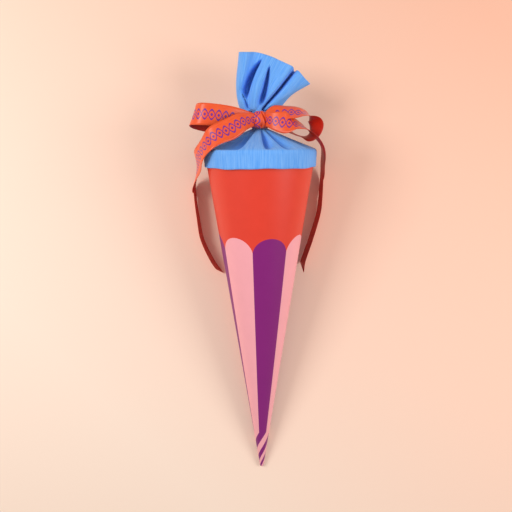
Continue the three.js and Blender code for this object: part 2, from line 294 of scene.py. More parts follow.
def use_second_material(mesh, corner_flags):
    """Gives each face the second material where the flag of its first corner is set."""
    starts = np.zeros(len(mesh.polygons), dtype=np.int32)
    mesh.polygons.foreach_get("loop_start", starts)
    mesh.polygons.foreach_set("material_index", corner_flags[starts].astype(np.int32))


def add_piece(name, mesh, material_list):
    """Links a finished mesh as an object at the origin."""
    piece = bpy.data.objects.new(name, mesh)
    for material in material_list:
        mesh.materials.append(material)
    bpy.context.scene.collection.objects.link(piece)
    return piece


def card_cone_mesh():
    """Outer skin: the cone's radius, rounded off at the blunt tip, plus one card thickness over the glued
    overlap, which then fades back. Inner skin: one card thickness further in, down to the tip's plug."""
    turn = np.linspace(SEAM_ANGLE - 360, SEAM_ANGLE - SEAM_EDGE, CARD_COLUMNS)
    into = turn - (SEAM_ANGLE - 360)
    lift = CARD * np.clip((2 * SEAM_OVERLAP - into) / SEAM_OVERLAP, 0, 1)[None, :]
    above_round = TIP_ROUND + (CONE_LENGTH - TIP_ROUND) * np.linspace(0, 1, CARD_ROWS) ** ROW_SPREAD
    heights = np.concatenate([TIP_LEVELS, above_round])
    inner_heights = heights[heights > TIP_PLUG][::-1]
    below_round = np.clip(1 - heights / TIP_ROUND, 0, TIP_FLATNESS)
    outer = (cone_radius(heights) * np.sqrt(1 - below_round ** 2))[:, None]
    outer = outer + lift * np.minimum(1, heights / LIFT_REACH)[:, None]
    inner = np.repeat((cone_radius(inner_heights) - CARD * SLANT)[:, None], len(turn), axis=1)
    radius = np.concatenate([outer, inner])
    level = np.repeat(np.concatenate([heights, inner_heights])[:, None], len(turn), axis=1)
    angle = np.radians(turn)[None, :]
    points = np.stack([radius * np.sin(angle), level, radius * np.cos(angle)], axis=-1)
    mesh, corner_rows, corner_columns = grid_mesh("card_cone_print", lay(points))
    corner_turn = np.interp(corner_columns, np.arange(len(turn)), turn)
    corner_level = level[corner_rows.astype(int), 0]
    set_uv(mesh, "print", corner_turn / 360, corner_level / CONE_LENGTH)
    use_second_material(mesh, corner_rows >= len(heights))
    return mesh


def printed_card():
    """Coated box card, offset printed: smooth, half glossy, with a faint paper grain under the varnish."""
    material, tree, shader = new_material("printed_card")
    uv = add(tree, "ShaderNodeUVMap", {"uv_map": "print"})
    parts = add(tree, "ShaderNodeSeparateXYZ", Vector=uv.outputs["UV"])
    level = add(tree, "ShaderNodeMath", {"operation": "MULTIPLY"}, in_0=parts.outputs["Y"],
                in_1=CONE_LENGTH)
    turn = add(tree, "ShaderNodeMath", {"operation": "MULTIPLY"}, in_0=parts.outputs["X"], in_1=360)
    depth = add(tree, "ShaderNodeMath", {"operation": "MULTIPLY"}, in_0=level.outputs[0],
                in_1=-1 / TWIST_REACH)
    fall = add(tree, "ShaderNodeMath", {"operation": "EXPONENT"}, in_0=depth.outputs[0])
    rise = add(tree, "ShaderNodeMath", {"operation": "MULTIPLY"}, in_0=level.outputs[0], in_1=1 / TWIST_TOP)
    steep = add(tree, "ShaderNodeMath", {"operation": "POWER"}, in_0=rise.outputs[0], in_1=4)
    fade = add(tree, "ShaderNodeMath", {"operation": "SUBTRACT", "use_clamp": True}, in_0=1,
               in_1=steep.outputs[0])
    wound = add(tree, "ShaderNodeMath", {"operation": "MULTIPLY"}, in_0=fall.outputs[0],
                in_1=fade.outputs[0])
    twist = add(tree, "ShaderNodeMath", {"operation": "MULTIPLY"}, in_0=wound.outputs[0],
                in_1=math.degrees(TWIST_TURN))
    reach = add(tree, "ShaderNodeMath", {"operation": "ADD"}, in_0=level.outputs[0], in_1=LEAN_REACH)
    lean = add(tree, "ShaderNodeMath", {"operation": "DIVIDE"}, in_0=math.degrees(LEAN_SIZE),
               in_1=reach.outputs[0])
    shift = add(tree, "ShaderNodeMath", {"operation": "ADD"}, in_0=twist.outputs[0], in_1=lean.outputs[0])
    moved = add(tree, "ShaderNodeMath", {"operation": "ADD"}, in_0=turn.outputs[0], in_1=shift.outputs[0])
    from_start = add(tree, "ShaderNodeMath", {"operation": "SUBTRACT"}, in_0=moved.outputs[0],
                     in_1=STRIPE_START)
    narrowing = add(tree, "ShaderNodeMath", {"operation": "MULTIPLY_ADD"}, in_0=level.outputs[0],
                    in_1=STRIPE_NARROWING / STRIPE_ANGLE, in_2=1 / STRIPE_ANGLE)
    stripe = add(tree, "ShaderNodeMath", {"operation": "MULTIPLY"}, in_0=from_start.outputs[0],
                 in_1=narrowing.outputs[0])
    across = add(tree, "ShaderNodeMath", {"operation": "FRACT"}, in_0=stripe.outputs[0])
    number = add(tree, "ShaderNodeMath", {"operation": "FLOOR"}, in_0=stripe.outputs[0])
    half = add(tree, "ShaderNodeMath", {"operation": "MULTIPLY"}, in_0=number.outputs[0], in_1=0.5)
    parity = add(tree, "ShaderNodeMath", {"operation": "FRACT"}, in_0=half.outputs[0])
    is_pink = add(tree, "ShaderNodeMath", {"operation": "GREATER_THAN"}, in_0=parity.outputs[0], in_1=0.25)
    centred = add(tree, "ShaderNodeMath", {"operation": "MULTIPLY_ADD"}, in_0=across.outputs[0],
                  in_1=2 * SCALLOP_ROUND, in_2=-SCALLOP_ROUND)
    square = add(tree, "ShaderNodeMath", {"operation": "MULTIPLY"}, in_0=centred.outputs[0],
                 in_1=centred.outputs[0])
    left = add(tree, "ShaderNodeMath", {"operation": "SUBTRACT"}, in_0=1.0, in_1=square.outputs[0])
    arc = add(tree, "ShaderNodeMath", {"operation": "SQRT"}, in_0=left.outputs[0])
    scallop = add(tree, "ShaderNodeMath", {"operation": "MULTIPLY_ADD"}, in_0=arc.outputs[0],
                  in_1=SCALLOP_RISE, in_2=SCALLOP_FLOOR)
    is_red = add(tree, "ShaderNodeMath", {"operation": "GREATER_THAN"}, in_0=level.outputs[0],
                 in_1=scallop.outputs[0])
    stripes = add(tree, "ShaderNodeMix", {"data_type": "RGBA"}, Factor=is_pink.outputs[0])
    stripes.inputs["A"].default_value = linear("#850776")
    stripes.inputs["B"].default_value = linear("#fbadb6")
    print_colour = add(tree, "ShaderNodeMix", {"data_type": "RGBA"}, Factor=is_red.outputs[0])
    tree.links.new(stripes.outputs["Result"], print_colour.inputs["A"])
    print_colour.inputs["B"].default_value = linear("#e63c25")
    place = add(tree, "ShaderNodeTexCoord")
    ink = add(tree, "ShaderNodeTexNoise", Vector=place.outputs["Object"], Scale=45.0, Detail=3.0)
    ink_level = add(tree, "ShaderNodeMapRange", Value=ink.outputs[0], To_Min=0.96, To_Max=1.04)
    varied = add(tree, "ShaderNodeHueSaturation", Value=ink_level.outputs[0])
    tree.links.new(print_colour.outputs["Result"], varied.inputs["Color"])
    tree.links.new(varied.outputs["Color"], shader.inputs["Base Color"])
    grain = add(tree, "ShaderNodeTexNoise", Vector=place.outputs["Object"], Scale=900.0, Detail=2.0)
    bump = add(tree, "ShaderNodeBump", Height=grain.outputs[0], Strength=0.05, Distance=0.0003)
    tree.links.new(bump.outputs["Normal"], shader.inputs["Normal"])
    gloss = add(tree, "ShaderNodeMapRange", Value=ink.outputs[0], To_Min=0.36, To_Max=0.44)
    tree.links.new(gloss.outputs[0], shader.inputs["Roughness"])
    shader.inputs["IOR"].default_value = 1.5
    return material


def grey_board():
    """Uncoated grey board, the card's inside: matt, flecked with fibres."""
    material, tree, shader = new_material("grey_board")
    place = add(tree, "ShaderNodeTexCoord")
    fleck = add(tree, "ShaderNodeTexNoise", Vector=place.outputs["Object"], Scale=500.0, Detail=4.0)
    shade = add(tree, "ShaderNodeMapRange", Value=fleck.outputs[0], To_Min=0.35, To_Max=0.5)
    tree.links.new(shade.outputs[0], shader.inputs["Base Color"])
    shader.inputs["Roughness"].default_value = 0.9
    return material


card_cone = add_piece("card_cone_print", card_cone_mesh(), [printed_card(), grey_board()])
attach(card_cone, "root")
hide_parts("card_cone")

# Crepe paper closure
# One tube of blue crepe paper, glued as a band round the rim. It folds in over the rim, is gathered to
# the neck that the ribbon ties, and flares above it in stiff pleats. Its fine crinkles run up the tube.
TIE_LEVEL = CONE_LENGTH + 58
WRAP_HEIGHT = 28
NECK_ACROSS = 30
NECK_DEPTH = 25
DOME_SWELL = 0.95
BAND_EDGE_STAND = 3.0
FLARE_HEIGHT = 125
FOLD_COUNT = 20
COLUMNS_PER_FOLD = 24
NECK_PLEAT = 0.8
NECK_FLOOR = TIE_LEVEL - WRAP_HEIGHT / 2 - 1
NECK_TOP = TIE_LEVEL + WRAP_HEIGHT / 2 + 1
CREPE_COLUMNS = FOLD_COUNT * COLUMNS_PER_FOLD
CREPE_TURN = -90 + 360 / CREPE_COLUMNS * (np.arange(CREPE_COLUMNS) + 0.5)

# Folds of the flare from its left edge over the front to the right edge and round the back: three points
# each, low, half way and at the cut edge, as across, up from the knot and towards the viewer, in
# hundredths of the flare's height.
FLARE_FOLDS = np.array([
    [(-29, 15, 0), (-36, 49, 0), (-31, 100, 0)],
    [(-24, 17, 10), (-26, 52, 14), (-20, 98, 14)],
    [(-18, 21, 6), (-17, 52, 4), (-3, 99, 4)],
    [(-9, 19, 12), (-4, 53, 17), (17, 92, 12)],
    [(-1, 22, 8), (11, 52, 12), (29, 87, 11)],
    [(3, 22, 10), (19, 54, 12), (38, 83, 11)],
    [(4, 20, 11), (26, 46, 13), (50, 77, 12)],
    [(5, 17, -5), (29, 45, -14), (54, 74, -14)],
    [(8, 18, 7), (32, 42, 9), (58, 72, 9)],
    [(14, 17, 8), (40, 35, 8), (69, 61, 6)],
    [(27, 15, 0), (50, 38, -4), (78, 54, -4)],
    [(21, 15, -8), (44, 38, -16), (70, 62, -18)],
    [(17, 16, -6), (38, 42, -8), (64, 67, -6)],
    [(12, 17, -13), (30, 46, -21), (54, 74, -21)],
    [(7, 17, -10), (22, 50, -13), (42, 82, -13)],
    [(2, 16, -16), (13, 52, -24), (29, 88, -26)],
    [(-5, 15, -10), (3, 53, -14), (14, 95, -14)],
    [(-11, 14, -16), (-8, 52, -24), (2, 99, -24)],
    [(-17, 16, -10), (-19, 51, -14), (-13, 99, -14)],
    [(-23, 15, -8), (-30, 50, -13), (-24, 99, -19)],
], dtype=float)

# Grooves of the dome between rim and neck: angle, half width in degrees on its left and right side, depth
# in millimetres, and how far from the rim (0) to the neck (1) the groove is deepest.
DOME_GROOVES = [
    (-26, 20, 4, 30, 0.34),
    (-75, 10, 8, 12, 0.45),
    (7, 3, 8, 18, 0.55),
    (28, 3.5, 9, 20, 0.45),
    (62, 5, 12, 12, 0.5),
    (104, 13, 8, 9, 0.45),
    (142, 11, 8, 8, 0.5),
    (180, 12, 9, 9, 0.45),
    (216, 11, 8, 8, 0.5),
    (250, 12, 8, 9, 0.45),
]
RIM_ROUND = 2.5
RIM_ROUND_REACH = 0.025
RIM_LEDGE = 0.036
DOME_START = 0.012
DOME_SPAN = (0.03, 0.97)

# Dents in the front of the flare, in hundredths of its height: low end and high end as across and up, how
# far the line between them bows to the right, and half width on its left and right side. The depth is in
# millimetres.
FLARE_DENTS = [
    ((-21, 31), (4, 89), -3.5, 11, 2.4, 30),
    ((1, 22), (14.5, 78), 1, 4.6, 4.8, 27),
    ((-17, 16), (-27, 40), 0, 3, 1.8, 6),
]
FRONT_FOLDS = 10
DENT_FADE_IN = 0.25
DENT_FADE_OUT = 0.12
DENT_LEFT_POWER = 2.2
DENT_RIGHT_POWER = 4

# Rows of the crepe's mesh along each stretch, and how far its inner skins reach in rows
BAND_ROWS = 10
DOME_ROWS = 34
FLARE_ROWS = (12, 18, 18)
CUP_FLOOR_ROWS = 8
UNDER_DOME_ROWS = 28
CRINKLE_COUNTS = (150, 187, 211, 96)
CRINKLE_HEIGHT = 0.22
SKIN_SINK = 0.1


def smooth_between(before, start, end, after, share):
    """Catmull-Rom curve from start to end, with the points before and after them."""
    return 0.5 * (2 * start + (end - before) * share
                  + (2 * before - 5 * start + 4 * end - after) * share ** 2
                  + (3 * start - before - 3 * end + after) * share ** 3)


def flare_station(station):
    """Ring of the flare at a station, smooth from fold to fold."""
    folds = FLARE_FOLDS[:, station] * FLARE_HEIGHT / 100 + (0, TIE_LEVEL, 0)
    place = (np.arange(CREPE_COLUMNS) + 0.5) / COLUMNS_PER_FOLD
    fold = np.floor(place).astype(int)
    around = [folds[(fold + step) % FOLD_COUNT] for step in (-1, 0, 1, 2)]
    return smooth_between(*around, (place - fold)[:, None])


def neck_ring(height):
    """Oval ring with one shallow pleat for each fold."""
    angle = np.radians(CREPE_TURN)
    pleat = 1 - NECK_PLEAT / NECK_DEPTH * (1 + np.cos(angle * FOLD_COUNT))
    return np.stack([NECK_ACROSS / 2 * pleat * np.sin(angle), np.full_like(angle, height),
                     NECK_DEPTH / 2 * pleat * np.cos(angle)], axis=-1)


def crinkles(rows):
    """Fine crinkle height of the crepe, a few long waves along the tube with pitches of 2 to 5 mm."""
    rng = np.random.default_rng(7)
    turn = np.radians(CREPE_TURN)[None, :]
    along = np.linspace(0, 1, rows)[:, None]
    height = 0
    for count in CRINKLE_COUNTS:
        phase = rng.uniform(0, 2 * np.pi)
        sway = rng.uniform(2, 6)
        height = height + np.sin(count * turn + phase + sway * np.sin(2 * np.pi * along + phase))
    return height / len(CRINKLE_COUNTS)


def dome_rings(shares):
    """From the rim's fold (share 0) to the neck (1): the radius falls evenly, the height rises with a
    power of the share, and each groove sinks it by a bell across and a sine along. The grooves start
    inside the card's rim, behind a narrow ledge."""
    rim_angle = np.radians(CREPE_TURN)
    rim_radius = BAND_SKIN + cone_radius(BAND_TOP)
    rim = np.stack([rim_radius * np.sin(rim_angle), np.full_like(rim_angle, BAND_TOP),
                    rim_radius * np.cos(rim_angle)], axis=-1)
    share = np.asarray(shares)[:, None]
    points = rim[None] * (1 - share[..., None]) + neck_ring(NECK_FLOOR)[None] * share[..., None]
    sink = np.zeros(points.shape[:2])
    for centre, left, right, depth, deepest in DOME_GROOVES:
        off = (CREPE_TURN - centre + 180) % 360 - 180
        bell = np.exp(-(off / np.where(off < 0, left, right)) ** 2)
        rising = (share - RIM_LEDGE) / (deepest - RIM_LEDGE)
        along = np.where(share <= deepest, rising, (1 - share) / (1 - deepest))
        sink += depth * bell[None, :] * np.sin(np.clip(along, 0, 1) * np.pi / 2)
    corner = RIM_ROUND * np.exp(-share / RIM_ROUND_REACH)
    points[..., 1] = BAND_TOP + (NECK_FLOOR - BAND_TOP) * share ** DOME_SWELL - sink - corner
    return points


def dented(rings):
    """Pushes the front of the flare's rings away from the viewer. Across a dent the depth falls off from
    its bowed line, steeper on its right side, and along it the dent fades in and narrows to its top."""
    across = rings[..., 0] * 100 / FLARE_HEIGHT
    up = (rings[..., 1] - TIE_LEVEL) * 100 / FLARE_HEIGHT
    front = (np.arange(CREPE_COLUMNS) < FRONT_FOLDS * COLUMNS_PER_FOLD)[None, :]
    for low, high, bow, left, right, depth in FLARE_DENTS:
        along = (up - low[1]) / (high[1] - low[1])
        middle = low[0] + (high[0] - low[0]) * along + bow * 4 * along * (1 - along)
        narrowing = np.clip(1 - along, 0.05, 1) ** 0.5
        off = (across - middle) / (np.where(across < middle, left, right) * narrowing)
        fade = np.clip(along / DENT_FADE_IN, 0, 1) * np.clip((1 - along) / DENT_FADE_OUT, 0, 1)
        power = np.where(off < 0, DENT_LEFT_POWER, DENT_RIGHT_POWER)
        rings[..., 2] -= depth * np.exp(-np.abs(off) ** power) * fade * front
    return rings


def band_ring(height):
    """Round ring of the band. Away from the back, which lies on the ground, it stands off the card
    towards its lower edge, and that cut edge wavers by a millimetre."""
    angle = np.radians(CREPE_TURN)
    below = min(1.0, (BAND_TOP - height) / BAND_HEIGHT)
    off_ground = np.clip(1.15 + np.cos(angle), 0, 1)
    stand = BAND_EDGE_STAND * below * off_ground * (1 + 0.25 * np.sin(9 * angle))
    radius = cone_radius(height) + BAND_SKIN + stand
    level = height + below ** 4 * off_ground * (0.7 * np.sin(5 * angle + 1) + 0.4 * np.sin(13 * angle))
    return np.stack([radius * np.sin(angle), level, radius * np.cos(angle)], axis=-1)


def outward_normals(points):
    """Unit normals of a grid of rings, from its differences round and along."""
    around = np.roll(points, -1, axis=1) - np.roll(points, 1, axis=1)
    along = np.gradient(points, axis=0)
    normal = np.cross(around, along)
    return normal / np.maximum(np.linalg.norm(normal, axis=-1, keepdims=True), 1e-9)


def crepe_mesh():
    """Outer skin from the band's lower edge to the flare's cut edge, then the inner skin one paper
    thickness in: down into the cup that the neck closes, and under the dome down to the band's edge."""
    band_levels = np.linspace(BAND_FLOOR, BAND_TOP - 2 * RIM_ROUND, BAND_ROWS)
    band = np.stack([band_ring(level) for level in band_levels])
    dome = dome_rings(np.concatenate([[DOME_START], np.linspace(*DOME_SPAN, DOME_ROWS)]))
    levels = [neck_ring(NECK_FLOOR), neck_ring(NECK_TOP)] + [flare_station(s) for s in range(3)]
    past_cut_edge = 2 * levels[4] - levels[3]
    levels.append(past_cut_edge)
    flare = []
    for level, steps in enumerate(FLARE_ROWS):
        for step in range(1, steps + 1):
            flare.append(smooth_between(*levels[level:level + 4], step / steps))
    neck = [neck_ring(NECK_FLOOR), neck_ring(TIE_LEVEL), neck_ring(NECK_TOP)]
    outer = np.concatenate([band, dome, np.stack(neck), dented(np.stack(flare))])
    normal = outward_normals(outer)
    fine = crinkles(len(outer))
    outer = outer + normal * (CRINKLE_HEIGHT * fine)[..., None] - normal * SKIN_SINK
    inner = outer - PAPER * normal
    cup = inner[len(band) + len(dome) + len(neck) + CUP_FLOOR_ROWS:][::-1]
    under = inner[:len(band) + UNDER_DOME_ROWS][::-1]
    points = np.concatenate([under, outer, cup])
    mesh, corner_rows, corner_columns = grid_mesh("crepe_paper", lay(points))
    lengths = np.linalg.norm(np.diff(points, axis=0), axis=-1).mean(axis=1)
    run = np.concatenate([[0], np.cumsum(lengths)])
    round_length = 2 * np.pi * RIM_RADIUS
    set_uv(mesh, "tube", corner_columns / CREPE_COLUMNS * round_length / 1000,
           run[corner_rows.astype(int)] / 1000)
    return mesh


def crepe_paper():
    """Crepe paper: soft, matt, dyed through, with fine bumped crinkles up the tube, painted shade in their
    valleys and painted light on their crests. Their real pitch of about 1.5 mm is drawn nearer 3 mm, so
    that it shows."""
    material, tree, shader = new_material("crepe_paper")
    uv = add(tree, "ShaderNodeUVMap", {"uv_map": "tube"})
    stretch = add(tree, "ShaderNodeMapping", Vector=uv.outputs["UV"], Scale=(330.0, 22.0, 1.0))
    ridges = add(tree, "ShaderNodeTexNoise", {"noise_dimensions": "2D"}, Vector=stretch.outputs[0],
                 Scale=1.0, Detail=3.0, Roughness=0.6)
    fine = add(tree, "ShaderNodeMapping", Vector=uv.outputs["UV"], Scale=(900.0, 90.0, 1.0))
    fibres = add(tree, "ShaderNodeTexNoise", {"noise_dimensions": "2D"}, Vector=fine.outputs[0],
                 Scale=1.0, Detail=2.0)
    height = add(tree, "ShaderNodeMath", {"operation": "MULTIPLY_ADD"}, in_0=fibres.outputs[0], in_1=0.3,
                 in_2=ridges.outputs[0])
    bump = add(tree, "ShaderNodeBump", Height=height.outputs[0], Strength=0.55, Distance=0.0012)
    # Painted shade and painted light: the blue is darker where the crinkle noise is low and paler where it
    # is high, following the bump's own valleys and crests.
    tone = add(tree, "ShaderNodeMapRange", Value=ridges.outputs[0], From_Min=0.3, From_Max=0.7)
    colour = add(tree, "ShaderNodeMix", {"data_type": "RGBA"}, Factor=tone.outputs[0])
    colour.inputs["A"].default_value = linear("#5ca4f8")
    colour.inputs["B"].default_value = linear("#7cb9ff")
    tree.links.new(colour.outputs["Result"], shader.inputs["Base Color"])
    tree.links.new(bump.outputs["Normal"], shader.inputs["Normal"])
    shader.inputs["Roughness"].default_value = 0.85
    shader.inputs["Specular IOR Level"].default_value = 0.25
    shader.inputs["Sheen Weight"].default_value = 0.15
    shader.inputs["Sheen Roughness"].default_value = 0.5
    return material


crepe = add_piece("crepe_paper", crepe_mesh(), [crepe_paper()])
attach(crepe, "root")
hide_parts("crepe_closure")

# Satin ribbon bow
# One printed satin ribbon, 40 mm wide, wrapped round the neck and tied with two loops and two tails.
# The print is a braid of lozenges. Beside the rim the tails turn on edge and run along the ground.
RIBBON_WIDTH = 40
RIBBON_THICKNESS = 0.45
CUT_REACH = 30
STATION_STEPS = 12
WIDTH_STEPS = 10
GROUND_OFFSET = BAND_SKIN * FACET_SHRINK


def from_knot(across, up, towards):
    """A point measured from the knot's middle on the axis."""
    return (across, TIE_LEVEL + up, towards)


def by_rim(across, up, towards):
    """A point beside the rim: across and towards in rim radii, up from the rim."""
    return (across * RIM_RADIUS, CONE_LENGTH + up, towards * RIM_RADIUS)


def leaning(lean):
    """Width direction of the ribbon on edge: straight down, leaning across by the given share."""
    return (lean, -math.sin(LIE_ANGLE), -math.cos(LIE_ANGLE))


def on_ground(across, up, lift=0):
    """The middle of the ribbon where it stands on edge on the ground."""
    height = CONE_LENGTH + up
    ground_depth = -(cone_radius(height) * FACET_SHRINK + GROUND_OFFSET)
    return (across * RIM_RADIUS, height,
            ground_depth + (RIBBON_WIDTH / 2 + CLEARANCE + lift) / math.cos(LIE_ANGLE))


# Stations of each run: middle point, direction of the width, share of the width that is left.
LEFT_LOOP = [
    (from_knot(-10, 1, 20), (0, 1, 0), 0.55),
    (from_knot(-32, 2, 30), (0, 1, 0.1), 0.85),
    (from_knot(-56, 5, 40), (0.05, 1, 0), 1),
    (from_knot(-85, 9, 46), (0.1, 1, 0), 1),
    (from_knot(-111, 11, 44), (0.25, 1, 0), 1),
    (from_knot(-126, 10, 26), (0.38, 1, 0), 1),
    (from_knot(-121, 4, 6), (0.35, 1, 0), 1),
    (from_knot(-93, -2, 0), (0.2, 1, 0), 1),
    (from_knot(-62, -4, 4), (0.1, 1, 0.1), 1),
    (from_knot(-34, 0, 14), (0, 1, 0), 0.75),
    (from_knot(-12, 1, 18), (0, 1, 0), 0.5),
]
RIGHT_LOOP = [
    (from_knot(10, 2, 20), (0, 1, 0), 0.5),
    (from_knot(29, 8, 24), (0, 0.9, -0.3), 1),
    (from_knot(49, 13, 28), (0, 0.65, -0.75), 1),
    (from_knot(69, 13, 30), (-0.1, 0.55, -0.83), 1),
    (from_knot(89, 10, 32), (0, 0.25, -0.97), 1),
    (from_knot(104, -3, 30), (-0.6, 0, -0.8), 1),
    (from_knot(103, -20, 22), (-0.5, 0.1, -0.85), 1),
    (from_knot(92, -31, 14), (-0.3, 0.15, -0.95), 1),
    (from_knot(74, -29, 10), (0, 0.1, -1), 1),
    (from_knot(54, -19, 10), (0.1, 0.2, -0.97), 1),
    (from_knot(31, -6, 14), (0, 0.8, -0.6), 0.75),
    (from_knot(12, 0, 18), (0, 1, 0), 0.5),
]
LEFT_TAIL = [
    (from_knot(-9, 1, 24), (0, 1, 0), 0.55),
    (from_knot(-33, -4, 48), (-0.5, 0.85, 0), 0.85),
    (from_knot(-55, -17, 59), (-0.7, 0.7, 0), 1),
    (by_rim(-0.75, 30, 0.62), (-0.68, 0.62, -0.3), 1),
    (by_rim(-0.92, 14, 0.57), (-0.55, 0.32, -0.75), 1),
    (by_rim(-1.07, -9, 0.36), (-0.4, 0.1, -0.9), 1),
    (by_rim(-1.17, -37, -0.15), (-0.15, 0, -1), 1),
    (on_ground(-1.28, -73, 5), leaning(0), 1),
    (on_ground(-1.27, -102, 1), leaning(0.03), 1),
    (on_ground(-1.22, -145), leaning(0.06), 1),
    (on_ground(-1.15, -187), leaning(0.1), 1),
    (on_ground(-0.97, -230), leaning(0.13), 1),
    (on_ground(-0.81, -256), leaning(0.13), 1),
]
RIGHT_TAIL = [
    (from_knot(9, 1, 24), (0, 1, 0), 0.55),
    (from_knot(24, -2, 40), (0.1, 1, 0), 0.8),
    (from_knot(45, -6, 46), (0.1, 0.95, -0.2), 1),
    (from_knot(67, -9, 45), (0, 0.5, -0.85), 1),
    (by_rim(0.82, 40, 0.4), (-0.1, 0.15, -1), 1),
    (by_rim(0.96, 26, 0.33), (-0.1, 0, -0.99), 1),
    (by_rim(1.1, 5, 0.1), (0.04, 0, -1), 1),
    (by_rim(1.18, -19, -0.29), (0.04, 0, -1), 1),
    (on_ground(1.22, -52, 5), leaning(-0.04), 1),
    (on_ground(1.19, -104, 1), leaning(-0.1), 1),
    (on_ground(1.15, -136), leaning(-0.13), 1),
    (on_ground(1.0, -189), leaning(-0.16), 1),
    (on_ground(0.86, -232), leaning(-0.17), 1),
    (on_ground(0.83, -249), leaning(-0.17), 1),
]


def along_stations(values, steps):
    """Smooth values through the stations, steps to each stretch, ends run straight on."""
    values = np.asarray(values, dtype=float)
    padded = np.vstack([2 * values[0] - values[1], values, 2 * values[-1] - values[-2]])
    place = np.linspace(0, len(values) - 1, steps * (len(values) - 1) + 1)
    index = np.minimum(place.astype(int), len(values) - 2)
    share = (place - index)[:, None]
    return smooth_between(padded[index], padded[index + 1], padded[index + 2], padded[index + 3], share)


def strip_rings(stations, slant):
    """Closed section of a flat strip at each step: half the width to each side of the middle line, half
    the thickness to each side of its plane. Over the last centimetres the sections lean along the strip,
    up to the slant of its cut end. Returns the rings and the length run so far."""
    middle = along_stations([s[0] for s in stations], STATION_STEPS)
    width = along_stations([s[1] for s in stations], STATION_STEPS)
    width_share = along_stations([[s[2]] for s in stations], STATION_STEPS)
    forward = np.gradient(middle, axis=0)
    forward /= np.linalg.norm(forward, axis=1, keepdims=True)
    width -= forward * (width * forward).sum(axis=1, keepdims=True)
    width /= np.linalg.norm(width, axis=1, keepdims=True)
    face = np.cross(forward, width)
    offsets = np.linspace(-1, 1, WIDTH_STEPS + 1)
    run = np.concatenate([[0], np.cumsum(np.linalg.norm(np.diff(middle, axis=0), axis=1))])
    lean = slant * np.clip((run - run[-1]) / CUT_REACH + 1, 0, 1) ** 2
    sideways = offsets[None, :, None] * RIBBON_WIDTH / 2 * width_share[:, None]
    top = middle[:, None] + width[:, None] * sideways
    top = top + forward[:, None] * (offsets[None, :, None] * lean[:, None, None])
    top_side = top + face[:, None] * RIBBON_THICKNESS / 2
    low_side = top[:, ::-1] - face[:, None] * RIBBON_THICKNESS / 2
    return np.concatenate([top_side, low_side], axis=1), run


def ribbon_part(name, stations, print_start, flip, slant):
    """One run of the ribbon as a mesh, with its UV map: along and across in metres."""
    rings, run = strip_rings(stations, slant)
    mesh, corner_rows, corner_columns = grid_mesh(name, lay(rings))
    across_count = rings.shape[1] // 2
    there = np.linspace(-1, 1, across_count)
    ring_across = np.concatenate([there, there[::-1], [-1]])
    corner_across = np.interp(corner_columns, np.arange(len(ring_across)), ring_across)
    corner_run = print_start + run[corner_rows.astype(int)]
    set_uv(mesh, "weave", corner_run / 1000, corner_across * RIBBON_WIDTH / 2000)
    on_back = corner_columns >= across_count - 0.5
    use_second_material(mesh, ~on_back if flip else on_back)
    return mesh, run[-1]


# The print, in metres: two mirrored waves that cross as a braid, with a lozenge in each eye. A lozenge
# begins where the waves have risen to the share EYE_START of their reach.
BRAID_PITCH = 0.026
BRAID_REACH = 0.0085
BRAID_LINE = 0.0036
EYE_SIZE = 0.014
EYE_START = 0.8


